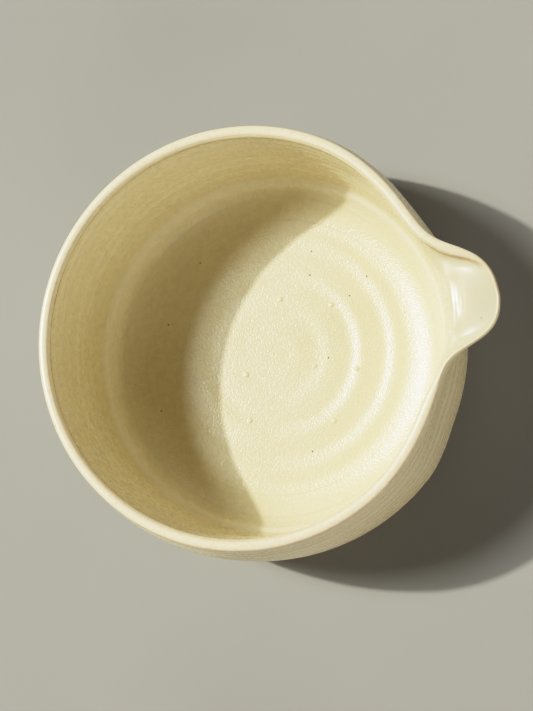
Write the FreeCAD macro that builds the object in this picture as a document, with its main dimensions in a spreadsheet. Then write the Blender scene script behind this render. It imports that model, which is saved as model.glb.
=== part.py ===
"""A hand-thrown stoneware shaving bowl with a pouring spout.

The bowl stands on its foot. +Z points up out of the mouth, +X towards the spout, and the
origin is the middle of the foot ring's underside. All sizes are in millimetres, and sizes of
surfaces are those of the finished, glazed bowl. The clay lies one glaze thickness below them.
"""
import FreeCAD, Part
import math
import os
import Sketcher
from FreeCAD import Placement, Rotation, Vector

SIZES = {
    # The thrown bowl
    "height": 56.0,
    "rim_radius": 65.0,
    "belly_radius": 67.75,
    "wall_radius": 60.8,
    "rim_width": 3.6,
    "rim_crown": 1.6,
    "inner_crown": 0.9,
    "split_height": 36.0,
    "floor_height": 6.1,
    "floor_radius": 43.5,
    "underside_height": 4.2,
    # The trimmed foot, which stays unglazed
    "foot_radius": 46.5,
    "foot_width": 5.0,
    "foot_recess": 1.7,
    "foot_bevel": 0.6,
    # The spout, and the rim squeezed in on both sides of it
    "spout_reach": 14.6,
    "spout_lip": 0.9,
    "spout_drop": 1.1,
    "crest_drop": 3.4,
    "squeeze": 1.5,
    # The coats
    "glaze": 0.4,
}
# Half the width of the spout as an angle, and how softly it leaves the rim, on each side.
SPOUT_HALF_ANGLE = {-1: 10.5, 1: 12.6}
SPOUT_SOFTNESS = {-1: 2.4, 1: 2.9}
# How quickly the rim falls to the level of the spout's tip, on each side.
SPOUT_FALL = {-1: 1.6, 1: 3}
# Where the rim is narrowed or widened beside the spout: the angle, how far round, how much.
RIM_NARROWING = {-1: (18, 6, 1.6), 1: (12, 3.4, -2.8)}
# The clay of the spout is set into a notch of the rim between these angles, and the rim is
# squeezed in as far as the shoulder angle.
NOTCH_ANGLE = 24
SHOULDER_ANGLE = 60
SPOUT_STATIONS = (-24, -20, -16, -12, -8, -4, 0, 4, 8, 12, 16, 20, 24)
RIGHT_STATIONS = (-60, -54, -48, -42, -36, -30, -24)
LEFT_STATIONS = (24, 30, 36, 42, 48, 54, 60)
BACK = 180

doc = FreeCAD.newDocument("shaving_bowl")
sheet = doc.addObject("Spreadsheet::Sheet", "sizes")
for row, (alias, value) in enumerate(SIZES.items(), start=1):
    sheet.set(f"A{row}", alias)
    sheet.set(f"B{row}", str(value))
    sheet.setAlias(f"B{row}", alias)
doc.recompute()


# Points of an outline. Each is (radius, height, outward radial, outward upward): two
# expressions on the sheet, and the direction in which the glaze lies on the clay there.

def spout_share(angle):
    """How much of the spout's reach the rim has at this angle, from 0 to 1."""
    side = 1 if angle >= 0 else -1
    return 1 / (1 + math.exp((abs(angle) - SPOUT_HALF_ANGLE[side]) / SPOUT_SOFTNESS[side]))


def squeeze_share(angle):
    """How far the rim is squeezed in at this angle, from 0 to 1."""
    if abs(angle) >= SHOULDER_ANGLE:
        return 0.0
    return 0.5 + 0.5 * math.cos(math.pi * max(0, abs(angle) - NOTCH_ANGLE)
                                / (SHOULDER_ANGLE - NOTCH_ANGLE))


def rim_narrowing(angle):
    """How much narrower than elsewhere the rim is at this angle, in millimetres."""
    middle, width, size = RIM_NARROWING[1 if angle >= 0 else -1]
    return size * math.exp(-((abs(angle) - middle) / width) ** 2)


def mixed(wall, spout, share):
    """An expression that goes from the plain wall's size to the spout's as share goes 0 to 1."""
    return f"{1 - share:.5f} * ({wall}) + {share:.5f} * ({spout})"


def upper_outline(angle):
    """The outer face, the rim's top and the inner face above the split, at an angle."""
    share = spout_share(angle) if abs(angle) < SHOULDER_ANGLE else 0.0
    low = share ** SPOUT_FALL[1 if angle >= 0 else -1]
    narrowed = f"{rim_narrowing(angle):.5f}"
    pinch = f"{squeeze_share(angle) * (1 - share):.5f} * sizes.squeeze"
    edge = "sizes.height - sizes.rim_crown"
    tip = f"{edge} - sizes.spout_drop"
    crest = "sizes.height - sizes.crest_drop"
    reach = "sizes.rim_radius + sizes.spout_reach"
    inside = "sizes.rim_radius - sizes.rim_width"
    lip = f"{reach} - sizes.spout_lip"

    def point(wall, spout, hold, out, up):
        """hold is how much of the rim's squeeze the point takes."""
        radius = f"{mixed(wall[0], spout[0], share)} - {hold} * {pinch}"
        height = mixed(wall[1], spout[1], low)
        size = math.hypot(out, up)
        return radius, height, out / size, up / size

    outer = [
        point(("sizes.belly_radius", "sizes.split_height"),
              ("sizes.belly_radius", "sizes.split_height"), 0, 1, 0),
        point(("sizes.belly_radius - 0.1", "sizes.split_height + 5"),
              ("sizes.belly_radius + 0.1", "sizes.split_height + 4"), 0.6, 1, 0),
        point(("sizes.rim_radius + 1.9", f"{edge} - 8"),
              ("sizes.rim_radius + 4.2", f"{edge} - 9"), 1.1, 1, -0.3 * share),
        point(("sizes.rim_radius + 0.9", f"{edge} - 3.4"),
              (f"{reach} - 4.6", f"{edge} - 5"), 1, 1, -1.1 * share),
        point(("sizes.rim_radius", edge), (reach, tip), 1, 1, -0.2 * share),
    ]
    top = [
        outer[-1],
        point(("sizes.rim_radius - 0.1", "sizes.height - 0.55"),
              (f"{reach} - 0.05", f"{tip} + 0.5"), 1, 1, 0.6),
        point(("sizes.rim_radius - 0.8", "sizes.height"),
              (f"{reach} - 0.3", f"{tip} + 0.9"), 1, 0.3, 1),
        point((f"{inside} + 0.6 + {narrowed}", "sizes.height"),
              (f"{lip} + 0.3 + {narrowed}", f"{tip} + 0.95"), 1, -0.2, 1),
        point((f"{inside} + 0.05 + {narrowed}", "sizes.height - 0.15"),
              (f"{lip} + 0.1 + {narrowed}", f"{tip} + 0.95"), 1, -1, 0.8 + 4 * share),
        point((f"{inside} + {narrowed}", "sizes.height - sizes.inner_crown"),
              (f"{lip} + {narrowed}", f"{tip} + 0.9"), 1, -1, 0.1 + 5 * share),
    ]
    inner = [
        top[-1],
        point((f"{inside} - 0.1 + 0.5 * {narrowed}", f"{edge} - 3"),
              ("sizes.rim_radius + 8", f"{crest} + 1.3"), 1, -1, 0.2 + 7 * share),
        point((f"{inside} - 0.2", f"{edge} - 6"), ("sizes.rim_radius + 1.6", f"{crest} + 0.8"),
              0.8, -1, 2 * share),
        point((f"{inside} - 0.4", f"{edge} - 9.5"), (f"{inside} + 2.4", f"{crest} - 1.8"), 0.4,
              -1, 0.3 * share),
        point(("sizes.wall_radius + 0.05", "sizes.split_height + 5"),
              ("sizes.wall_radius + 0.3", "sizes.split_height + 9"), 0, -1, 0),
        point(("sizes.wall_radius", "sizes.split_height"),
              ("sizes.wall_radius", "sizes.split_height"), 0, -1, 0),
    ]
    return outer, top, inner


LOWER_OUTSIDE = [
    ("sizes.foot_radius", "sizes.underside_height", 0, -1),
    ("sizes.foot_radius + 10.5", "sizes.underside_height + 1.2", 0.3, -0.954),
    ("sizes.belly_radius - 3.4", "sizes.underside_height + 6.3", 0.75, -0.661),
    ("sizes.belly_radius - 0.1", "sizes.underside_height + 16", 0.99, -0.141),
    ("sizes.belly_radius + 0.2", "sizes.split_height - 6", 1, 0),
    ("sizes.belly_radius", "sizes.split_height", 1, 0),
]
LOWER_INSIDE = [
    ("sizes.wall_radius", "sizes.split_height", -1, 0),
    ("sizes.wall_radius - 0.05", "sizes.split_height - 6", -1, 0),
    ("sizes.wall_radius - 0.6", "sizes.floor_height + 15.5", -0.99, 0.141),
    ("sizes.wall_radius - 2.2", "sizes.floor_height + 6.2", -0.87, 0.493),
    ("sizes.floor_radius + 8", "sizes.floor_height + 0.5", -0.4, 0.917),
    ("sizes.floor_radius", "sizes.floor_height", 0, 1),
]


def glazed(points):
    """The finished surface's points, as pairs of expressions."""
    return [(radius, height) for radius, height, out, up in points]


def bare(points):
    """The clay's points, one glaze thickness below the finished surface."""
    return [(f"{radius} - {out:.4f} * sizes.glaze", f"{height} - {up:.4f} * sizes.glaze")
            for radius, height, out, up in points]


# Sketches and features

def new_body(name):
    """A sub-part's body, whose label names its file."""
    body = doc.addObject("PartDesign::Body", name)
    body.Label = name
    body.Placement = Placement()
    return body


def origin_plane(body, role):
    """The body's own origin plane with that role."""
    return next(f for f in body.Origin.OriginFeatures if f.Role == role)


def place(sketch, point):
    """Where a pair of expressions on the sheet lies in the sketch."""
    return Vector(*(float(sketch.evalExpression(size)) for size in point), 0)


def hold(sketch, geometry, vertex, point):
    """Ties a point of the sketch to two sizes on the sheet, or to the axis where one is 0."""
    for kind, axis, size in (("DistanceX", -2, point[0]), ("DistanceY", -1, point[1])):
        if size == "0":
            sketch.addConstraint(Sketcher.Constraint("PointOnObject", geometry, vertex, axis))
            continue
        value = float(sketch.evalExpression(size))
        number = sketch.addConstraint(
            Sketcher.Constraint(kind, -1, 1, geometry, vertex, value))
        sketch.setExpression(f"Constraints[{number}]", size)


def add_curve(sketch, points):
    """A line through two points, or a cubic spline with the points as its poles."""
    poles = [place(sketch, point) for point in points]
    if len(poles) == 2:
        curve = sketch.addGeometry(Part.LineSegment(*poles))
        hold(sketch, curve, 1, points[0])
        return curve
    spline = Part.BSplineCurve()
    inner_knots = len(poles) - 4
    spline.buildFromPolesMultsKnots(poles, [4] + [1] * inner_knots + [4],
                                    list(range(inner_knots + 2)), False, 3)
    curve = sketch.addGeometry(spline)
    for number, pole in enumerate(poles):
        circle = sketch.addGeometry(Part.Circle(pole, Vector(0, 0, 1), 1), True)
        sketch.addConstraint(Sketcher.Constraint("Weight", circle, 1.0))
        sketch.addConstraint(Sketcher.Constraint(
            "InternalAlignment:Sketcher::BSplineControlPoint", circle, 3, curve, number))
        if number < len(poles) - 1:
            hold(sketch, circle, 3, points[number])
    return curve


def add_section(body, name, angle, curves):
    """A closed outline in the upright plane at an angle about the bowl's axis."""
    sketch = body.newObject("Sketcher::SketchObject", name)
    sketch.AttachmentSupport = [(origin_plane(body, "XZ_Plane"), "")]
    sketch.MapMode = "FlatFace"
    sketch.AttachmentOffset = Placement(Vector(), Rotation(Vector(0, 1, 0), angle))
    numbers = [add_curve(sketch, points) for points in curves]
    for before, after in zip(numbers, numbers[1:] + numbers[:1]):
        sketch.addConstraint(Sketcher.Constraint("Coincident", before, 2, after, 1))
    return sketch


def add_turned(body, name, angle, sweep, curves):
    """The outline turned about the bowl's axis, evenly to both sides of its plane."""
    sketch = add_section(body, name + "_outline", angle, curves)
    turned = body.newObject("PartDesign::Revolution", name)
    turned.Profile = sketch
    turned.ReferenceAxis = (sketch, ["V_Axis"])
    turned.Midplane = True
    turned.Angle = sweep


def add_loft(body, name, stations, curves_at):
    """A smooth loft through the outlines that curves_at gives at the stations' angles."""
    sections = [add_section(body, f"{name}_{number}", angle, curves_at(angle))
                for number, angle in enumerate(stations)]
    loft = body.newObject("PartDesign::AdditiveLoft", name)
    loft.Profile = sections[0]
    loft.Sections = sections[1:]


# Outlines

def upper_clay(angle):
    """The clay wall from the split to the rim."""
    outer, top, inner = (bare(points) for points in upper_outline(angle))
    return [outer, top, inner, [inner[-1], outer[0]]]


def upper_inside_coat(angle):
    """The inside glaze from the split to the rim's inner edge."""
    inner = upper_outline(angle)[2]
    skin, clay = glazed(inner), bare(inner)[::-1]
    return [skin, [skin[-1], clay[0]], clay, [clay[-1], skin[0]]]


def upper_outside_coat(angle):
    """The outside glaze from the split over the rim's top to its inner edge."""
    outer, top, _ = upper_outline(angle)
    skin_outer, skin_top = glazed(outer), glazed(top)
    clay_top, clay_outer = bare(top)[::-1], bare(outer)[::-1]
    return [skin_outer, skin_top, [skin_top[-1], clay_top[0]], clay_top, clay_outer,
            [clay_outer[-1], skin_outer[0]]]


def lower_clay():
    """The foot, the floor and the wall up to the split."""
    outer, inner = bare(LOWER_OUTSIDE), bare(LOWER_INSIDE)
    corners = [
        inner[-1],
        ("0", inner[-1][1]),
        ("0", "sizes.foot_recess"),
        ("sizes.foot_radius - sizes.foot_width - sizes.foot_bevel", "sizes.foot_recess"),
        ("sizes.foot_radius - sizes.foot_width", "0"),
        ("sizes.foot_radius - sizes.foot_bevel", "0"),
        ("sizes.foot_radius", "sizes.foot_bevel"),
        outer[0],
    ]
    return [inner] + [list(pair) for pair in zip(corners, corners[1:])] + [outer,
                                                                           [outer[-1], inner[0]]]


def lower_inside_coat():
    """The inside glaze over the floor and the wall up to the split."""
    skin, clay = glazed(LOWER_INSIDE), bare(LOWER_INSIDE)[::-1]
    return [skin, [skin[-1], ("0", skin[-1][1])], [("0", skin[-1][1]), ("0", clay[0][1])],
            [("0", clay[0][1]), clay[0]], clay, [clay[-1], skin[0]]]


def lower_outside_coat():
    """The outside glaze from its line above the foot to the split."""
    skin, clay = glazed(LOWER_OUTSIDE), bare(LOWER_OUTSIDE)[::-1]
    return [skin, [skin[-1], clay[0]], clay, [clay[-1], skin[0]]]


SHOULDERS = {"right_shoulder": RIGHT_STATIONS, "left_shoulder": LEFT_STATIONS}


def add_wall(body, lower, upper):
    """The turned lower part, the turned back of the upper part, and the lofted shoulders."""
    add_turned(body, body.Label + "_lower", 0, 360, lower)
    add_turned(body, body.Label + "_back", BACK, 360 - 2 * SHOULDER_ANGLE, upper(BACK))
    for name, stations in SHOULDERS.items():
        add_loft(body, f"{body.Label}_{name}", stations, upper)


# Sub-parts

def make_thrown_body():
    """The vessel, thrown and trimmed in one piece, with the notch that the spout sits in."""
    body = new_body("thrown_body")
    add_wall(body, lower_clay(), upper_clay)
    return body


def make_spout():
    """The pouring spout, which fills the notch and reaches out beyond the rim."""
    body = new_body("spout")
    add_loft(body, "spout_lip", SPOUT_STATIONS, upper_clay)
    return body


def make_coat(name, lower, upper):
    """A coat of glaze: one skin on the thrown clay and one on the spout, edge to edge."""
    on_wall = new_body(name + "_on_wall")
    add_wall(on_wall, lower, upper)
    on_spout = new_body(name + "_on_spout")
    add_loft(on_spout, name + "_lip", SPOUT_STATIONS, upper)
    coat = doc.addObject("Part::Compound", name)
    coat.Label = name
    coat.Links = [on_wall, on_spout]
    coat.Placement = Placement()
    return coat


subparts = [
    make_thrown_body(),
    make_spout(),
    make_coat("inside_glaze", lower_inside_coat(), upper_inside_coat),
    make_coat("outside_glaze", lower_outside_coat(), upper_outside_coat),
]
doc.recompute()

failed = [o.Label for o in doc.Objects if {"Invalid", "Error"} & set(o.State)]
failed += [o.Label for o in subparts if o.Shape.isNull() or not o.Shape.isValid()]
if failed:
    raise RuntimeError(f"these failed: {failed}")
os.makedirs("parts", exist_ok=True)
for subpart in subparts:
    subpart.Shape.exportStep(f"parts/{subpart.Label}.step")
    box = subpart.Shape.BoundBox
    print(f"{subpart.Label}: {len(subpart.Shape.Solids)} solids, {subpart.Shape.Volume:.0f} mm3, "
          f"x {box.XMin:.2f} {box.XMax:.2f} y {box.YMin:.2f} {box.YMax:.2f} "
          f"z {box.ZMin:.2f} {box.ZMax:.2f}")
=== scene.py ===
"""The looks of a hand-thrown stoneware shaving bowl with a pouring spout.

The bowl stands on its foot on a pale floor. +Z is up out of its mouth and +X towards the spout.
Shapes are worked out in millimetres and put into Blender in metres.
"""
import math

import bmesh
import bpy
import numpy as np
from mathutils import Matrix, Vector


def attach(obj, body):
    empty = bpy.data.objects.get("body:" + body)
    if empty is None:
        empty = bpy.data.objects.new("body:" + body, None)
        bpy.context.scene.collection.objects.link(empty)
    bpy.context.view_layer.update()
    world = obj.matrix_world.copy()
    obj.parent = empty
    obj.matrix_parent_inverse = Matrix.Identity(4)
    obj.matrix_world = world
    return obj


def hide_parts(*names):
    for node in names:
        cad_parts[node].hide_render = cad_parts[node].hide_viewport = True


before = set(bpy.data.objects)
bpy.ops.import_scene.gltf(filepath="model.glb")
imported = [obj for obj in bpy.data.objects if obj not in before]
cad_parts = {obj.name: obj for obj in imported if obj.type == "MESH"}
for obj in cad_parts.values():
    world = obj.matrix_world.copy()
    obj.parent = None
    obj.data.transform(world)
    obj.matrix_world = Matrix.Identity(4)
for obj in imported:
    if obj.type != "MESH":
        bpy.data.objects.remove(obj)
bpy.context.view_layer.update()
MM = 0.001

# Driving sizes of the finished, glazed surface, in millimetres
HEIGHT = 56.0
RIM_RADIUS = 65.0
BELLY_RADIUS = 67.75
WALL_RADIUS = 60.8
RIM_WIDTH = 3.6
RIM_CROWN = 1.6
INNER_CROWN = 1.4
SPLIT_HEIGHT = 36.0
FLOOR_HEIGHT = 6.1
FLOOR_RADIUS = 43.5
UNDERSIDE = 4.2
FOOT_RADIUS = 46.5
FOOT_WIDTH = 5.0
FOOT_RECESS = 1.7
FOOT_BEVEL = 0.6
GLAZE = 0.4

# The spout: how far it stands out of the rim, how wide its edge is, and how far its tip and
# its root are below the rim. The rim is squeezed in on both sides of it.
SPOUT_REACH = 14.6
SPOUT_LIP = 0.9
SPOUT_DROP = 1.1
CREST_DROP = 3.4
SQUEEZE = 1.5
# The angles from the spout's middle to the ends of its clay and of the squeeze
NOTCH_ANGLE = 24
SHOULDER_ANGLE = 60
# Half the spout's width as an angle, how softly it leaves the rim, and how quickly the rim
# falls to the level of its tip, on its right and its left
SPOUT_HALF_ANGLE = (10.5, 12.6)
SPOUT_SOFTNESS = (2.4, 2.9)
SPOUT_FALL = (1.6, 3)
# Where the rim is narrowed or widened beside the spout, on its right and its left: the angle,
# how far round, and how much
RIM_NARROWING = ((-18, 6, 1.6), (12, 3.4, -2.8))

# How far the outer wall is pushed in beside the spout, on its right and its left, and the angles
# between which that fades. The left side has one more dent: its depth, angle and spread.
DENT = (2.0, 1.6)
DENT_FADE = ((26, 46), (34, 64))
LEFT_DENT = (1.3, 29, 12)
# The heights between which the dents start at the foot and end below the rim
DENT_START = (5, 14)
DENT_END = (44, HEIGHT - 3)
# Where the bowl is flatter than round: how much of the radius is gone, the angle and the spread
FLATTENING = (0.008, 208, 48)

# Throwing rings of the inner wall: the height, how far each stands out, and its width
WALL_RINGS = ((50.8, 0.16, 1.1), (46.3, 0.13, 1.2), (41.0, 0.10, 1.2), (34.3, 0.32, 1.1),
              (29.3, 0.34, 1.1), (23.5, 0.20, 1.2), (13.4, 0.60, 1.7))
# The rings of the floor: their pitch and height, the radius where one starts, and how far off
# the middle they are
RING_PITCH = 11.3
RING_HEIGHT = 0.22
RING_START = 25.8
RING_DRIFT = 1.2
# The grooves of the outer wall: the ranges that each one's depth, width and distance to the
# next are drawn from, how far each tilts, and how much glaze is left in the deepest
GROOVE_DEPTH = (0.10, 0.34)
GROOVE_WIDTH = (0.6, 1.1)
GROOVE_SPACING = (2.2, 4.0)
GROOVE_TILT = (-0.5, 0.5)
GROOVE_GLAZE = 0.1
GROOVE_SEED = 19
# The crest across the spout's root and the dip behind it: the radius, width and height of each
CREST = (65.3, 0.45, 0.24)
DIP = (67.8, 0.9, -0.23)
# The trimming rings under the base
TRIM_PITCH = 2.7
TRIM_DEPTH = 0.07

# How many rows of faces the meshes have: the inner wall above and below the split, and the
# floor, the rim's top, the outer wall above and below the split, and the foot's base
UPPER_INSIDE_ROWS = 66
LOWER_INSIDE_ROWS = 50
FLOOR_ROWS = 50
TOP_ROWS = 26
UPPER_OUTSIDE_ROWS = 50
LOWER_OUTSIDE_ROWS = 70
BASE_ROWS = 80
# The same for the undersides of the coats, and for each wall of the clay above and below the
# split. Nothing of these shows, so the rows are fewer.
INSIDE_BACK_ROWS = 22
OUTSIDE_BACK_ROWS = 34
UPPER_OUTER_CLAY_ROWS = 30
UPPER_INNER_CLAY_ROWS = 20
LOWER_OUTER_CLAY_ROWS = 20
LOWER_INNER_CLAY_ROWS = 30
# How far the clay lies below the undersides of the coats
CLAY_GAP = 0.02
# Points closer than this are welded, and edges that turn by more degrees than this are sharp
WELD = 1e-4
SHARP_ANGLE = 50


# ---------------------------------------------------------------- outlines

def ridge(place, centre, width):
    """A rounded ridge of height 1 about a centre."""
    return np.exp(-((place - centre) / width) ** 2)


def step(place, start, end):
    """A smooth rise from 0 at start to 1 at end."""
    t = np.clip((place - start) / (end - start), 0, 1)
    return t * t * (3 - 2 * t)


def spline_weights(poles, steps):
    """Weights of the poles of a clamped cubic spline at steps + 1 even places along it."""
    knots = np.concatenate([[0] * 3, np.arange(poles - 2), [poles - 3] * 3]).astype(float)
    places = np.linspace(0, poles - 3, steps + 1)
    places[-1] -= 1e-9
    basis = ((places[:, None] >= knots[:-1]) & (places[:, None] < knots[1:])).astype(float)
    for degree in (1, 2, 3):
        left = knots[degree:-1] - knots[:-degree - 1]
        right = knots[degree + 1:] - knots[1:-degree]
        rising = (places[:, None] - knots[:-degree - 1]) / np.where(left > 0, left, np.inf)
        falling = (knots[degree + 1:] - places[:, None]) / np.where(right > 0, right, np.inf)
        basis = rising * basis[:, :-1] + falling * basis[:, 1:]
    return basis


def by_side(angles, right, left):
    """A value for the spout's right side that turns into its left side's across the middle."""
    return right + (left - right) * step(angles, -5, 5)


def spout_share(angles):
    """How much of the spout's reach the rim has at each angle in degrees, from 0 to 1."""
    half = by_side(angles, *SPOUT_HALF_ANGLE)
    soft = by_side(angles, *SPOUT_SOFTNESS)
    return np.where(np.abs(angles) < SHOULDER_ANGLE,
                    1 / (1 + np.exp(np.clip((np.abs(angles) - half) / soft, -50, 50))), 0)


def squeeze_share(angles):
    """How far the rim is squeezed in at each angle, from 0 to 1."""
    past = np.clip((np.abs(angles) - NOTCH_ANGLE) / (SHOULDER_ANGLE - NOTCH_ANGLE), 0, 1)
    return 0.5 + 0.5 * np.cos(np.pi * past)


def rim_narrowing(angles):
    """How much narrower than elsewhere the rim is beside the spout, in millimetres."""
    right, left = (size * ridge(angles, middle, width) for middle, width, size in RIM_NARROWING)
    return np.where(angles < 0, right, left)


def upper_poles(angles):
    """Poles of the outer face, the rim's top and the inner face above the split."""
    share = spout_share(angles)
    low = share ** by_side(angles, *SPOUT_FALL)
    narrowed = rim_narrowing(angles)
    pinch = squeeze_share(angles) * (1 - share) * SQUEEZE
    edge = HEIGHT - RIM_CROWN
    tip = edge - SPOUT_DROP
    crest = HEIGHT - CREST_DROP
    reach = RIM_RADIUS + SPOUT_REACH
    inside = RIM_RADIUS - RIM_WIDTH
    lip = reach - SPOUT_LIP

    def pole(wall, spout, hold):
        radius = wall[0] * (1 - share) + spout[0] * share - hold * pinch
        height = wall[1] * (1 - low) + spout[1] * low
        return np.stack([radius, height + 0 * share], axis=1)

    outer = [
        pole((BELLY_RADIUS, SPLIT_HEIGHT), (BELLY_RADIUS, SPLIT_HEIGHT), 0),
        pole((BELLY_RADIUS - 0.1, SPLIT_HEIGHT + 5), (BELLY_RADIUS + 0.1, SPLIT_HEIGHT + 4), 0.6),
        pole((RIM_RADIUS + 1.9, edge - 8), (RIM_RADIUS + 4.2, edge - 9), 1.1),
        pole((RIM_RADIUS + 0.9, edge - 3.4), (reach - 4.6, edge - 5), 1),
        pole((RIM_RADIUS, edge), (reach, tip), 1),
    ]
    top = [
        outer[-1],
        pole((RIM_RADIUS - 0.1, HEIGHT - 0.55), (reach - 0.05, tip + 0.5), 1),
        pole((RIM_RADIUS - 0.8, HEIGHT), (reach - 0.3, tip + 0.9), 1),
        pole((inside + 1.3 + narrowed, HEIGHT), (lip + 0.3 + narrowed, tip + 0.95), 1),
        pole((inside + 0.4 + narrowed, HEIGHT - 0.35), (lip + 0.1 + narrowed, tip + 0.95), 1),
        pole((inside + narrowed, HEIGHT - INNER_CROWN), (lip + narrowed, tip + 0.9), 1),
    ]
    inner = [
        top[-1],
        pole((inside - 0.1 + 0.5 * narrowed, edge - 3), (RIM_RADIUS + 8, crest + 1.65), 1),
        pole((inside - 0.2, edge - 6), (RIM_RADIUS + 0.7, crest + 1.2), 0.8),
        pole((inside - 0.4, edge - 9.5), (inside + 2.3, crest - 2.6), 0.4),
        pole((WALL_RADIUS + 0.05, SPLIT_HEIGHT + 5), (WALL_RADIUS + 0.3, SPLIT_HEIGHT + 9), 0),
        pole((WALL_RADIUS, SPLIT_HEIGHT), (WALL_RADIUS, SPLIT_HEIGHT), 0),
    ]
    return (np.stack(poles, axis=1) for poles in (outer, top, inner))


LOWER_OUTSIDE = np.array([
    (FOOT_RADIUS, UNDERSIDE),
    (FOOT_RADIUS + 10.5, UNDERSIDE + 1.2),
    (BELLY_RADIUS - 3.4, UNDERSIDE + 6.3),
    (BELLY_RADIUS - 0.1, UNDERSIDE + 16),
    (BELLY_RADIUS + 0.2, SPLIT_HEIGHT - 6),
    (BELLY_RADIUS, SPLIT_HEIGHT),
])
LOWER_INSIDE = np.array([
    (WALL_RADIUS, SPLIT_HEIGHT),
    (WALL_RADIUS - 0.05, SPLIT_HEIGHT - 6),
    (WALL_RADIUS - 0.6, FLOOR_HEIGHT + 15.5),
    (WALL_RADIUS - 2.2, FLOOR_HEIGHT + 6.2),
    (FLOOR_RADIUS + 8, FLOOR_HEIGHT + 0.5),
    (FLOOR_RADIUS, FLOOR_HEIGHT),
])


def along(poles, steps):
    """Points along the splines: one row of poles per angle gives one row of points."""
    if poles.ndim == 2:
        return np.einsum("sp,pc->sc", spline_weights(len(poles), steps), poles)
    return np.einsum("sp,apc->asc", spline_weights(poles.shape[1], steps), poles)


# ---------------------------------------------------------------- surfaces

# The columns of the meshes: close together at the spout, wider apart round the rest
ANGLES = np.concatenate([np.arange(-28, 28, 0.25), np.linspace(28, 332, 300, endpoint=False)])
SIGNED = (ANGLES + 180) % 360 - 180
COUNT = len(ANGLES)
IN_NOTCH = np.flatnonzero(np.abs(SIGNED) < NOTCH_ANGLE + 0.1)
PAST_NOTCH = np.append(np.arange(IN_NOTCH[-1], COUNT), np.arange(IN_NOTCH[0] + 1))


def end_to_end(*pieces):
    """Profile pieces of (radius, height) rows joined, where each starts at the last one's end."""
    rows = [np.broadcast_to(piece, (COUNT,) + piece.shape[-2:]) for piece in pieces]
    return np.concatenate(rows[:1] + [piece[:, 1:] for piece in rows[1:]], axis=1)


def in_space(profile):
    """Profiles of (radius, height) rows, one for each column, as points. The bowl is a little
    out of round: flatter opposite the spout."""
    turn = np.radians(ANGLES)[:, None]
    lost, middle, spread = FLATTENING
    radius = profile[..., 0] * (1 - lost * ridge(ANGLES[:, None], middle, spread))
    return np.stack([radius * np.cos(turn), radius * np.sin(turn), profile[..., 1] + 0 * turn],
                    axis=-1)


def normals(points):
    """Unit normals of a grid of points, to the right of the way that the rows run."""
    around = np.roll(points, -1, axis=0) - np.roll(points, 1, axis=0)
    cross = np.cross(np.gradient(points, axis=1), around)
    return cross / np.linalg.norm(cross, axis=-1, keepdims=True)


def lengths(points):
    """The distance of each point from its column's first, along the column."""
    steps = np.linalg.norm(np.diff(points, axis=1), axis=-1)
    return np.pad(np.cumsum(steps, axis=1), ((0, 0), (1, 0)))


def thinned(points, count):
    """About that many rows of a grid, its first and last among them."""
    keep = np.linspace(0, points.shape[1] - 1, count).round().astype(int)
    return points[:, np.unique(keep)]


def wobble(angles, seed):
    """A smooth unevenness round the bowl, mostly within -1 to 1: the sum of four waves."""
    draw = np.random.default_rng(seed)
    waves = [draw.normal() / n ** 0.5 * np.cos(np.radians(n * angles) + draw.uniform(0, 6.28))
             for n in (1, 2, 3, 4)]
    return sum(waves) / 2


def tongue_marks(points):
    """The spout's own relief: a crest where it leaves the bowl, and a dip behind it."""
    x, y, z = np.moveaxis(points, -1, 0)
    out = np.hypot(x, y) - 0.05 * y
    crest, dip = (size * ridge(out, radius, width) for radius, width, size in (CREST, DIP))
    between = step(y, -14, -9) * step(y, 12.5, 8) * step(z, 46, 50)
    return between * (crest + dip * ridge(y, 0.5, 5))


def inside_marks(radius, height):
    """Throwing marks of the inside: rings up the wall, and rings over the floor that fade
    towards its middle, its edge and the bowl's back."""
    turn = ANGLES[:, None]
    wall = np.zeros_like(radius)
    for level, size, width in WALL_RINGS:
        wall += size * ridge(height, level + 0.4 * wobble(turn, int(10 * level)), width)
    off_middle = RING_DRIFT * np.sin(np.radians(turn + 40))
    phase = 2 * np.pi * (radius - RING_START - off_middle) / RING_PITCH
    share = (0.35 + 0.65 * step(radius, 15, 26)) * step(radius, 0, 9)
    share = share * step(radius, 45, 41) * step(height, 12, 8)
    share = share * (0.6 + 0.4 * np.cos(np.radians(turn + 20)))
    return wall, share * RING_HEIGHT * (np.sin(phase) + 0.2 * np.sin(2 * phase))


def dents(turn, height):
    """How far the outer wall is pushed in beside the spout, in millimetres."""
    right, left = (depth * step(side * turn, end, start)
                   for side, depth, (start, end) in zip((-1, 1), DENT, DENT_FADE))
    depth, middle, spread = LEFT_DENT
    dent = by_side(turn, right, left) + depth * ridge(turn, middle, spread)
    return dent * step(height, *DENT_START) * step(height, *DENT_END[::-1])


def outside_marks(height):
    """Throwing and trimming marks of the outside wall."""
    draw = np.random.default_rng(GROOVE_SEED)
    turn = ANGLES[:, None]
    marks = np.zeros_like(height)
    level = HEIGHT - 5.0
    while level > 9:
        tilt = draw.uniform(*GROOVE_TILT)
        place = level + tilt * np.cos(np.radians(turn - draw.uniform(0, 360)))
        depth = draw.uniform(*GROOVE_DEPTH)
        marks -= depth * ridge(height, place, draw.uniform(*GROOVE_WIDTH))
        level -= draw.uniform(*GROOVE_SPACING)
    marks = np.maximum(marks, GROOVE_GLAZE - GLAZE)
    return marks * step(height, 7, 11) * step(height, HEIGHT - 2.5, HEIGHT - 4.5)


# ---------------------------------------------------------------- meshes

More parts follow.
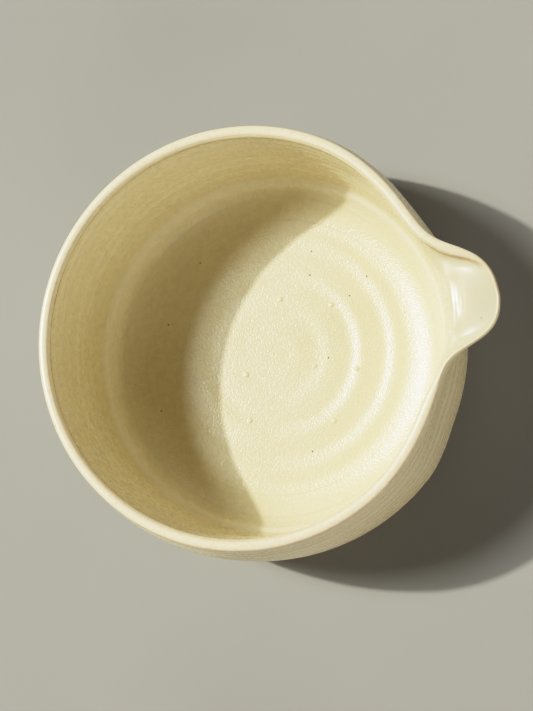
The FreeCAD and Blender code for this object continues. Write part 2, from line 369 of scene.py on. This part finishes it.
class Shell:
    """A closed mesh made from sheets of points that share their edges. A point is its place in
    millimetres and, in glaze, its values of the glaze's attributes."""

    def __init__(self, name):
        self.name = name
        self.points = []
        self.faces = []
        self.count = 0

    def add(self, points):
        """Adds points and returns their numbers."""
        numbers = self.count + np.arange(points[..., 0].size).reshape(points.shape[:-1])
        self.points.append(points.reshape(-1, points.shape[-1]))
        self.count += numbers.size
        return numbers

    def grid(self, points, closed=True):
        """A sheet through columns of points, closed where the last column meets the first."""
        here = self.add(points)
        after = np.roll(here, -1, axis=0)
        if not closed:
            here, after = here[:-1], after[:-1]
        quads = np.stack([here[:, :-1], here[:, 1:], after[:, 1:], after[:, :-1]], axis=-1)
        self.faces += quads.reshape(-1, 4).tolist()

    def between(self, one, other, closed=True):
        """A strip between two lines of points."""
        self.grid(np.stack([one, other], axis=1), closed)

    def fan(self, line, centre):
        """Triangles from a closed line of points to a point in its middle."""
        here, middle = self.add(line), self.add(centre[None])[0]
        self.faces += [[a, b, middle] for a, b in zip(here.tolist(), np.roll(here, -1).tolist())]

    def cap(self, line):
        """One flat face inside a closed line of points."""
        self.faces.append(self.add(line).tolist())

    def build(self, attributes=()):
        """The mesh as an object, welded where the sheets meet."""
        points = np.concatenate(self.points)
        keys = np.round(points[:, :3] / WELD).astype(int)
        _, kept, number = np.unique(keys, axis=0, return_index=True, return_inverse=True)
        number = number.reshape(-1)
        faces = [number[face].tolist() for face in self.faces]
        mesh = bpy.data.meshes.new(self.name)
        mesh.from_pydata((points[kept, :3] * MM).tolist(), [], faces)
        for column, attribute in enumerate(attributes, start=3):
            layer = mesh.attributes.new(attribute, "FLOAT", "POINT")
            layer.data.foreach_set("value", points[kept, column].astype(np.float32))
        work = bmesh.new()
        work.from_mesh(mesh)
        bmesh.ops.recalc_face_normals(work, faces=work.faces)
        work.to_mesh(mesh)
        work.free()
        mesh.shade_smooth()
        mesh.set_sharp_from_angle(angle=math.radians(SHARP_ANGLE))
        piece = bpy.data.objects.new(self.name, mesh)
        bpy.context.scene.collection.objects.link(piece)
        return piece


def make_skin(name, front, back, values, closes):
    """A coat of glaze: its face, its underside and the strips at its edges. It closes on the
    bowl's axis where closes is true. values are the attributes over the face."""
    face = np.concatenate([front, np.stack(values, axis=-1)], axis=-1)
    rear = np.concatenate([back, np.zeros(back.shape[:2] + (len(values),))], axis=-1)
    shell = Shell(name)
    shell.grid(face)
    shell.grid(rear)
    shell.between(face[:, 0], rear[:, 0])
    if closes:
        for sheet in (face, rear):
            shell.fan(sheet[:, -1], sheet[:, -1].mean(axis=0))
    else:
        shell.between(face[:, -1], rear[:, -1])
    return shell.build(GLAZE_ATTRIBUTES)


def make_body(outer, inner, foot):
    """The thrown clay: outer runs from the foot up to the rim's inner edge and inner from there
    to the middle of the floor, and each is split in two at the notch's floor."""
    lower_outer, upper_outer = outer
    upper_inner, lower_inner = inner
    shell = Shell("clay_body")
    shell.grid(np.concatenate([foot, lower_outer], axis=1))
    shell.grid(lower_inner)
    for line in (foot[:, 0], lower_inner[:, -1]):
        shell.fan(line, line.mean(axis=0))
    upper = np.concatenate([upper_outer, upper_inner[:, 1:]], axis=1)
    shell.grid(upper[PAST_NOTCH], closed=False)
    shell.between(upper[IN_NOTCH, 0], upper[IN_NOTCH, -1], closed=False)
    for column in (IN_NOTCH[0], IN_NOTCH[-1]):
        shell.cap(upper[column])
    return shell.build()


def make_spout(outer, inner):
    """The clay of the spout, which fills the notch."""
    upper = np.concatenate([outer[1], inner[0][:, 1:]], axis=1)
    shell = Shell("clay_spout")
    shell.grid(upper[IN_NOTCH], closed=False)
    shell.between(upper[IN_NOTCH, 0], upper[IN_NOTCH, -1], closed=False)
    for column in (IN_NOTCH[0], IN_NOTCH[-1]):
        shell.cap(upper[column])
    return shell.build()


def rounded(corners, radius, steps=5):
    """A line through corners with each one inside it rounded off."""
    corners = np.array(corners, float)
    line = [corners[:1]]
    for before, corner, after in zip(corners, corners[1:], corners[2:]):
        reach = [min(radius, 0.45 * np.linalg.norm(end - corner)) for end in (before, after)]
        start, end = (corner + r * (e - corner) / np.linalg.norm(e - corner)
                      for r, e in zip(reach, (before, after)))
        t = np.linspace(0, 1, steps)[:, None]
        line.append((1 - t) ** 2 * start + 2 * t * (1 - t) * corner + t ** 2 * end)
    return np.concatenate(line + [corners[-1:]])


def foot_profile():
    """The unglazed foot from near the axis, under the base and round the ring to the glaze."""
    inner_edge = FOOT_RADIUS - FOOT_WIDTH
    ring = rounded([
        (inner_edge - 1.6, FOOT_RECESS),
        (inner_edge - FOOT_BEVEL, FOOT_RECESS),
        (inner_edge, 0),
        (FOOT_RADIUS - FOOT_BEVEL, 0),
        (FOOT_RADIUS, FOOT_BEVEL),
        (FOOT_RADIUS, UNDERSIDE - 0.3),
    ], 0.5)
    radius = np.linspace(0.6, ring[0, 0], BASE_ROWS, endpoint=False)
    rings = TRIM_DEPTH * np.sin(2 * np.pi * radius / TRIM_PITCH) * step(radius, ring[0, 0], 34)
    base = np.stack([radius, FOOT_RECESS + rings + 0.35 * ridge(radius, 0, 3)], axis=-1)
    return np.concatenate([base, ring])


# The glaze's values at each point: how far across the rim it is, from 0 at its inner edge to 1
# at its outer one and in widths of the rim beyond them; the angle from the spout in degrees;
# and how far it stands out on a ring, where 1 is RING_FULL millimetres
GLAZE_ATTRIBUTES = ("across", "turn", "crest")
RING_FULL = 0.3

outer_poles, top_poles, inner_poles = upper_poles(SIGNED)
floor_radii = np.linspace(FLOOR_RADIUS, 0.8, FLOOR_ROWS)
floor_line = np.stack([floor_radii, np.full(FLOOR_ROWS, FLOOR_HEIGHT)], axis=-1)
turns = SIGNED[:, None]

# The inside, from the rim's inner edge to the middle of the floor
inside_outline = end_to_end(along(inner_poles, UPPER_INSIDE_ROWS),
                            along(LOWER_INSIDE, LOWER_INSIDE_ROWS), floor_line)
inside = in_space(inside_outline)
inside_out = -normals(inside)
inside_depth = lengths(inside)
wall_rings, floor_rings = inside_marks(inside_outline[..., 0], inside_outline[..., 1])
relief = (wall_rings + floor_rings + tongue_marks(inside)) * step(inside_depth, 0, 2)
inside_glaze = make_skin("glaze_inside", inside + inside_out * relief[..., None],
                         thinned(inside - GLAZE * inside_out, INSIDE_BACK_ROWS),
                         (-inside_depth / RIM_WIDTH, turns + 0 * inside_depth,
                          wall_rings / RING_FULL), True)

# The outside, from the rim's inner edge over its top and down to the glaze's line at the foot
outside_outline = end_to_end(along(top_poles, TOP_ROWS)[:, ::-1],
                             along(outer_poles, UPPER_OUTSIDE_ROWS)[:, ::-1],
                             along(LOWER_OUTSIDE, LOWER_OUTSIDE_ROWS)[::-1])
outside = in_space(outside_outline)
outside_out = normals(outside)
outside_depth = lengths(outside)
rim_across = outside_depth[:, TOP_ROWS:TOP_ROWS + 1]
across = np.where(outside_depth < rim_across, outside_depth / rim_across,
                  1 + (outside_depth - rim_across) / RIM_WIDTH)
heights = outside_outline[..., 1]
outside = outside - outside_out * dents(turns, heights)[..., None]
grooves = outside_marks(heights)
outside_glaze = make_skin("glaze_outside", outside + outside_out * grooves[..., None],
                          thinned(outside - GLAZE * outside_out, OUTSIDE_BACK_ROWS),
                          (across, turns + 0 * across, grooves / RING_FULL), False)

# The clay under both
split = TOP_ROWS + UPPER_OUTSIDE_ROWS
outer_clay = (outside - (GLAZE + CLAY_GAP) * outside_out)[:, ::-1]
inner_clay = inside - (GLAZE + CLAY_GAP) * inside_out
lower_rows = outer_clay.shape[1] - split
outer_parts = (thinned(outer_clay[:, :lower_rows], LOWER_OUTER_CLAY_ROWS),
               thinned(outer_clay[:, lower_rows - 1:], UPPER_OUTER_CLAY_ROWS))
inner_parts = (thinned(inner_clay[:, :UPPER_INSIDE_ROWS + 1], UPPER_INNER_CLAY_ROWS),
               thinned(inner_clay[:, UPPER_INSIDE_ROWS:], LOWER_INNER_CLAY_ROWS))
clay_body = make_body(outer_parts, inner_parts, in_space(end_to_end(foot_profile())))
clay_spout = make_spout(outer_parts, inner_parts)


# ---------------------------------------------------------------- materials

class Shader:
    """A node material under construction."""

    def __init__(self, name):
        self.material = bpy.data.materials.new(name)
        self.material.use_nodes = True
        self.tree = self.material.node_tree
        self.tree.nodes.clear()
        self.out = self.tree.nodes.new("ShaderNodeOutputMaterial")

    def node(self, kind, settings=None, **sockets):
        """A node with its settings, and its inputs set to values or linked to outputs."""
        made = self.tree.nodes.new("ShaderNode" + kind)
        for key, value in (settings or {}).items():
            setattr(made, key, value)
        for key, value in sockets.items():
            socket = made.inputs[int(key[1:]) if key[1:].isdigit() else key.replace("_", " ")]
            self.feed(socket, value)
        return made

    def feed(self, socket, value):
        """Links an output to the socket, or sets the socket to a value."""
        if isinstance(value, bpy.types.NodeSocket):
            self.tree.links.new(value, socket)
        else:
            socket.default_value = value

    def place(self):
        """Object coordinates, in metres."""
        return self.node("TexCoord").outputs["Object"]

    def stretched(self, across, up):
        """Object coordinates scaled across the bowl and up it."""
        made = self.node("Mapping", Vector=self.place())
        made.inputs["Scale"].default_value = (across, across, up)
        return made.outputs["Vector"]

    def attribute(self, name):
        """A value that the mesh has at each point."""
        return self.node("Attribute", {"attribute_name": name}).outputs["Fac"]

    def noise(self, scale, detail, place=None):
        return self.node("TexNoise", Vector=place or self.place(), Scale=scale,
                         Detail=detail).outputs["Fac"]

    def remap(self, value, low, high, to_low=0.0, to_high=1.0, smooth=False):
        """value taken from the range low to high to another range, and kept inside it."""
        made = self.node("MapRange", {"interpolation_type": "SMOOTHSTEP" if smooth else "LINEAR"},
                         _0=value)
        for number, bound in enumerate((low, high, to_low, to_high), start=1):
            made.inputs[number].default_value = bound
        return made.outputs["Result"]

    def band(self, value, low, high, soft):
        """1 where value is between low and high, with soft edges."""
        return self.times(self.remap(value, low - soft, low + soft, smooth=True),
                          self.remap(value, high + soft, high - soft, smooth=True))

    def math(self, operation, first, second=0.5):
        return self.node("Math", {"operation": operation}, _0=first, _1=second).outputs[0]

    def times(self, *values):
        """The product of values."""
        total = values[0]
        for value in values[1:]:
            total = self.math("MULTIPLY", total, value)
        return total

    def plus(self, *values):
        """The sum of values."""
        total = values[0]
        for value in values[1:]:
            total = self.math("ADD", total, value)
        return total

    def dots(self, spots, size, soft):
        """1 inside round spots at (x, y) or (x, y, z) places in millimetres."""
        total = None
        for spot in spots:
            centre = [value * MM for value in spot]
            if len(centre) == 2:
                flat = self.node("VectorMath", {"operation": "MULTIPLY"}, _0=self.place())
                flat.inputs[1].default_value = (1, 1, 0)
                place = flat.outputs[0]
                centre.append(0)
            else:
                place = self.place()
            away = self.node("VectorMath", {"operation": "DISTANCE"}, _0=place)
            away.inputs[1].default_value = centre
            one = self.remap(away.outputs["Value"], (size + soft) * MM, (size - soft) * MM,
                             smooth=True)
            total = one if total is None else self.math("MAXIMUM", total, one)
        return total

    def mix(self, factor, first, second):
        """The colour first turned into second by factor."""
        made = self.node("Mix", {"data_type": "RGBA"})
        self.feed(made.inputs[0], factor)
        for socket, value in ((made.inputs[6], first), (made.inputs[7], second)):
            self.feed(socket, value if isinstance(value, bpy.types.NodeSocket) else (*value, 1))
        return made.outputs[2]

    def bump(self, height, distance):
        """A bumped normal, with height in parts of distance in millimetres."""
        return self.node("Bump", Strength=1.0, Distance=distance * MM, Height=height).outputs[0]

    def finish(self, **sockets):
        """The material, with a surface that has these inputs."""
        surface = self.node("BsdfPrincipled", **sockets)
        self.tree.links.new(surface.outputs[0], self.out.inputs["Surface"])
        return self.material


# Colours of the glaze and its places
GLAZE_LIGHT = (0.82, 0.725, 0.465)
GLAZE_DARK = (0.79, 0.695, 0.43)
# Thin glaze, and also the painted shade in the outer wall's grooves
GLAZE_THIN_AND_SHADE = (0.70, 0.58, 0.33)
# Painted highlight colour, for the ring crests and the spout's topmost ring
PAINTED_HIGHLIGHT = (0.90, 0.82, 0.60)
GLAZE_SPOUT = (0.69, 0.64, 0.42)
SPOUT_PEACH = (0.78, 0.655, 0.42)
RIM_PINK = (0.99, 0.84, 0.55)
RIM_SPECKLE = (0.66, 0.50, 0.32)
# Peach of the rim's outer edge, also used for the painted shade beside the spout's crease
EDGE_PEACH_AND_SHADE = (0.72, 0.50, 0.30)
TIP_PEACH = (0.80, 0.58, 0.36)
LINE_BROWN = (0.36, 0.23, 0.11)
MARK_BROWN = (0.50, 0.20, 0.06)
SPECK_BROWN = (0.10, 0.055, 0.03)
# The range of its roughness, how much it reflects on the bowl, on the spout and less on the
# spout's root, and how deep the fine and coarse grain of its surface is
GLOSS = (0.24, 0.31)
SHINE = (0.5, 0.18, -0.12)
PEEL = (1.15, 0.6)
# Colours of the clay and its grit, and of the floor
CLAY_DARK = (0.50, 0.35, 0.21)
CLAY_LIGHT = (0.58, 0.43, 0.28)
CLAY_GRIT = (0.27, 0.17, 0.10)
FLOOR_DARK = (0.33, 0.32, 0.285)
FLOOR_LIGHT = (0.355, 0.345, 0.305)

# Places on the bowl in millimetres: lumps and pinholes in the floor's glaze, pinholes in the
# wall's glaze, and the two legs of a brown mark across the rim
LUMPS = ((12, -5), (-11.5, -4.5), (-12, -20), (20, 14.5), (26, -8), (16.5, -24), (3, 19))
PINHOLES = ((-42.5, -12.5), (-23.5, 36), (-37, 16.5), (14, 25.5), (15.5, 33.5), (26.5, 16.5),
            (17, -3), (33, 22), (8, -33))
WALL_PINHOLES = ((-26.7, 51, 20), (60.4, 6, 38), (-52, 30, 30))
RIM_MARK = ((-60.3, -19.0, 55.6), (-60.9, -19.5, 55.9), (-61.6, -19.7, 56), (-62.1, -19.4, 56))


def cream_glaze():
    """Cream glaze with a low gloss: pooled and thin places, specks, pinholes and a fine
    orange-peel surface, thin and pink along the rim with a brown line where it breaks, painted
    highlights on ring crests and painted shade in the outer grooves and beside the spout's crease."""
    s = Shader("cream_glaze")
    across = s.attribute("across")
    turn = s.attribute("turn")
    crest = s.attribute("crest")
    height = s.node("SeparateXYZ", Vector=s.place()).outputs["Z"]
    patchy = s.remap(s.noise(70, 2), 0.42, 0.60)

    # Colour of the coat
    cloud = s.remap(s.noise(34, 3), 0.35, 0.65)
    colour = s.mix(cloud, GLAZE_DARK, GLAZE_LIGHT)
    mottle = s.remap(s.noise(1250, 2), 0.42, 0.68)
    colour = s.mix(s.times(mottle, 0.06), colour, GLAZE_THIN_AND_SHADE)
    # Painted highlight: paler on the crests of the inner wall's rings
    colour = s.mix(s.remap(crest, 0.05, 1.3, 0, 0.7), colour, PAINTED_HIGHLIGHT)
    # Painted shade: darker in the outer wall's grooves, where the crest value is below zero
    colour = s.mix(s.remap(crest, -0.1, -0.9, 0, 0.8), colour, GLAZE_THIN_AND_SHADE)
    rings = s.noise(1, 1, place=s.stretched(12, 480))
    on_wall = s.remap(height, 0.010, 0.016, smooth=True)
    colour = s.mix(s.times(s.remap(rings, 0.45, 0.72), on_wall, 0.2), colour, GLAZE_THIN_AND_SHADE)

    # The rim: pinker and paler on top, peach at its outer edge, two brown lines at its inner one
    uneven = s.remap(s.noise(190, 2), 0.3, 0.7, -0.07, 0.07)
    place = s.plus(across, uneven)
    beside_tip = s.remap(s.math("ABSOLUTE", turn), 8, 15, smooth=True)
    rim = s.times(s.band(place, 0.10, 1.04, 0.08), s.remap(beside_tip, 0, 1, 0.35, 1))
    colour = s.mix(s.times(rim, 0.8), colour, RIM_PINK)
    speckle = s.remap(s.noise(900, 2), 0.50, 0.62)
    colour = s.mix(s.times(rim, speckle, 0.22), colour, RIM_SPECKLE)
    edge = s.times(s.band(place, 0.80, 1.18, 0.12), s.remap(patchy, 0, 1, 0.35, 1))
    colour = s.mix(s.times(edge, 0.55), colour, EDGE_PEACH_AND_SHADE)
    lines = s.plus(s.times(s.band(across, 0.20, 0.23, 0.04), beside_tip, 0.8),
                   s.times(s.band(across, -0.22, -0.08, 0.08), beside_tip))
    colour = s.mix(s.times(lines, s.remap(patchy, 0, 1, 0.55, 1), 0.85), colour, LINE_BROWN)

    # The spout: greener, with a peach root that has a painted highlight on its topmost ring, a
    # brown crease on its left with painted shade beside it, and a peach edge at its tip
    on_left = s.band(turn, 7.0, 16.5, 1.6)
    between = s.band(turn, -11, 12, 2)
    tongue = s.times(between, s.band(across, -3.0, 0.0, 0.15))
    root = s.times(between, s.band(across, -3.0, -1.9, 0.35))
    colour = s.mix(s.times(tongue, 0.8), colour, GLAZE_SPOUT)
    colour = s.mix(s.times(root, s.remap(patchy, 0, 1, 0.5, 0.9)), colour, SPOUT_PEACH)
    # Painted highlight: paler on the topmost ring across the spout's root
    colour = s.mix(s.times(tongue, s.remap(crest, 0.2, 0.7)), colour, PAINTED_HIGHLIGHT)
    crease = s.times(s.band(place, -0.34, 0.04, 0.2), on_left)
    # Painted shade: a soft peach-brown band beside the crease on the spout's left
    painted_crease_shade = s.times(s.band(place, -0.75, 0.20, 0.45), on_left)
    colour = s.mix(s.times(painted_crease_shade, s.remap(patchy, 0, 1, 0.3, 0.6)), colour, EDGE_PEACH_AND_SHADE)
    colour = s.mix(s.times(crease, s.remap(patchy, 0, 1, 0.6, 0.95)), colour, LINE_BROWN)
    tip = s.times(s.band(place, -0.1, 1.2, 0.25), s.band(turn, 0.5, 8.5, 1.5))
    colour = s.mix(s.times(tip, s.remap(patchy, 0, 1, 0.3, 1), 0.8), colour, TIP_PEACH)

    # Specks, pinholes and the mark across the rim
    cells = s.node("TexVoronoi", Vector=s.place(), Scale=95)
    pick = s.node("SeparateColor", Color=cells.outputs["Color"]).outputs[0]
    few = s.math("GREATER_THAN", pick, 0.86)
    speck = s.remap(cells.outputs["Distance"], 0.045, 0.025)
    colour = s.mix(s.times(few, speck, 0.7), colour, SPECK_BROWN)
    holes = s.math("MAXIMUM", s.times(s.dots(PINHOLES, 0.28, 0.14), s.remap(height, 0.012, 0.008)),
                   s.dots(WALL_PINHOLES, 0.3, 0.15))
    colour = s.mix(s.times(holes, 0.85), colour, SPECK_BROWN)
    colour = s.mix(s.times(s.dots(RIM_MARK, 0.28, 0.2), 0.7), colour, MARK_BROWN)

    # Relief, from coarse to fine
    lumps = s.times(s.dots(LUMPS, 0.6, 0.55), s.remap(height, 0.012, 0.008))
    soft = s.noise(260, 2)
    grainy = s.remap(height, 0.018, 0.009, 0.12, 1, smooth=True)
    peel = s.plus(s.times(s.noise(1900, 1.5), PEEL[0]), s.times(s.noise(1000, 1.5), PEEL[1]))
    relief = s.plus(s.times(soft, 0.30), s.times(peel, grainy), s.times(lumps, 3.0),
                    s.times(holes, -0.8), s.times(rings, on_wall, 0.35), s.times(lines, -0.15),
                    s.times(crease, -1.2))
    rough = s.plus(s.remap(s.noise(420, 3), 0.3, 0.7, GLOSS[0], GLOSS[1]), s.times(rim, 0.03),
                   s.times(tongue, 0.02))
    dull = s.times(between, s.band(across, -3.1, -2.2, 0.2))
    shine = s.plus(s.remap(tongue, 0, 1, SHINE[0], SHINE[1]), s.times(dull, SHINE[2]))
    return s.finish(Base_Color=colour, Roughness=rough, Normal=s.bump(relief, 0.1),
                    IOR=1.5, Specular_IOR_Level=shine)


def bare_clay():
    """Unglazed stoneware: sandy, warm and matt."""
    s = Shader("bare_clay")
    cloud = s.remap(s.noise(60, 3), 0.35, 0.65)
    colour = s.mix(cloud, CLAY_DARK, CLAY_LIGHT)
    grit = s.remap(s.noise(1800, 2), 0.55, 0.7)
    colour = s.mix(s.times(grit, 0.5), colour, CLAY_GRIT)
    rough = s.remap(s.noise(700, 2), 0.3, 0.7, 0.78, 0.92)
    return s.finish(Base_Color=colour, Roughness=rough, Normal=s.bump(s.noise(1300, 3), 0.2))


def pale_floor():
    """A plain pale floor with the slightest grain."""
    s = Shader("pale_floor")
    cloud = s.remap(s.noise(9, 3), 0.3, 0.7)
    colour = s.mix(cloud, FLOOR_DARK, FLOOR_LIGHT)
    return s.finish(Base_Color=colour, Roughness=0.7)


def finish_piece(piece, material, slot, *nodes):
    piece.data.materials.append(material)
    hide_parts(*nodes)
    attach(piece, "root")


glaze = cream_glaze()
clay = bare_clay()
finish_piece(inside_glaze, glaze, "cream_glaze", "inside_glaze")
finish_piece(outside_glaze, glaze, "cream_glaze", "outside_glaze")
finish_piece(clay_body, clay, "bare_clay", "thrown_body")
finish_piece(clay_spout, clay, "bare_clay", "spout")


# ---------------------------------------------------------------- stage, lights, camera

# Half the floor's width, in metres
FLOOR_REACH = 3.0
# Name, azimuth, elevation, width, strength and colour of each lamp
LAMPS = (
    ("key", 158.4, 48.8, 1.6, 3.25, (1.0, 0.99, 0.90)),
    ("window", 158.4, 54.4, 12, 1.9, (0.95, 1.0, 0.98)),
    ("right", -10, 15, 55, 0.5, (1.0, 0.95, 0.92)),
    ("front", -75, 15, 55, 1.45, (1.0, 0.95, 0.92)),
    ("left", 82, 14, 60, 0.8, (1.0, 0.96, 1.0)),
)
FILL_COLOUR = (0.93, 0.96, 1.0)
FILL_STRENGTH = 0.03
# The film curve: the light level of its last point, its contrast, how sharply it rolls off to
# white, and how many steps it has
FILM_RANGE = 4.0
FILM_CONTRAST = 1.17
FILM_SHOULDER = 2.0
FILM_STEPS = 16
# The camera: where it looks and how far away it is, in millimetres, and its angles in degrees
CAMERA_TARGET = (8.64, -7.74, 56.0)
CAMERA_AZIMUTH = -34.485
CAMERA_ELEVATION = 73.0
CAMERA_DISTANCE = 448.24
CAMERA_ROLL = -63.0
CAMERA_LENS = 75.95
CAMERA_SENSOR = 36


def make_floor():
    mesh = bpy.data.meshes.new("floor")
    corners = [(x * FLOOR_REACH, y * FLOOR_REACH, 0)
               for x, y in ((-1, -1), (1, -1), (1, 1), (-1, 1))]
    mesh.from_pydata(corners, [], [(0, 1, 2, 3)])
    floor = bpy.data.objects.new("floor", mesh)
    bpy.context.scene.collection.objects.link(floor)
    floor.data.materials.append(pale_floor())


def direction(azimuth, elevation):
    """A unit vector towards an azimuth from +X and an elevation, in degrees."""
    a, e = math.radians(azimuth), math.radians(elevation)
    return Vector((math.cos(e) * math.cos(a), math.cos(e) * math.sin(a), math.sin(e)))


def facing(back, roll=0.0):
    """The rotation of a thing that looks along -back, turned about its own axis by roll."""
    back = back.normalized()
    side = Vector((0, 0, 1)).cross(back).normalized()
    up = back.cross(side)
    turn = Matrix((side, up, back)).transposed()
    return (turn @ Matrix.Rotation(math.radians(roll), 3, "Z")).to_euler()


def add_lamp(name, azimuth, elevation, spread, strength, colour):
    """A lamp far away in that direction, as wide as spread in degrees."""
    lamp = bpy.data.lights.new(name, "SUN")
    lamp.energy = strength
    lamp.angle = math.radians(spread)
    lamp.color = colour
    holder = bpy.data.objects.new(name, lamp)
    holder.rotation_euler = facing(direction(azimuth, elevation))
    bpy.context.scene.collection.objects.link(holder)


def make_lights():
    for lamp in LAMPS:
        add_lamp(*lamp)
    world = bpy.data.worlds.new("studio")
    world.use_nodes = True
    background = world.node_tree.nodes["Background"]
    background.inputs["Color"].default_value = (*FILL_COLOUR, 1)
    background.inputs["Strength"].default_value = FILL_STRENGTH
    bpy.context.scene.world = world


def film(light):
    """How bright the picture shows a light level: straight when dark, rolling off to white."""
    light = light ** FILM_CONTRAST
    return light / (1 + light ** FILM_SHOULDER) ** (1 / FILM_SHOULDER)


def set_film():
    """Gives the picture the film curve."""
    view = bpy.context.scene.view_settings
    view.view_transform = "Standard"
    view.use_curve_mapping = True
    mapping = view.curve_mapping
    mapping.white_level = (FILM_RANGE,) * 3
    curve = mapping.curves[3]
    places = [(number / FILM_STEPS) ** 2 for number in range(FILM_STEPS + 1)]
    curve.points[0].location = (0, 0)
    curve.points[-1].location = (1, film(FILM_RANGE))
    for place in places[1:-1]:
        curve.points.new(place, film(place * FILM_RANGE))
    mapping.update()


def make_camera():
    camera = bpy.data.cameras.new("camera")
    camera.lens = CAMERA_LENS
    camera.sensor_width = CAMERA_SENSOR
    camera.clip_start = 0.01
    back = direction(CAMERA_AZIMUTH, CAMERA_ELEVATION)
    eye = bpy.data.objects.new("camera", camera)
    eye.location = Vector(CAMERA_TARGET) * MM + back * CAMERA_DISTANCE * MM
    eye.rotation_euler = facing(back, CAMERA_ROLL)
    bpy.context.scene.collection.objects.link(eye)
    bpy.context.scene.camera = eye


make_floor()
make_lights()
make_camera()
set_film()
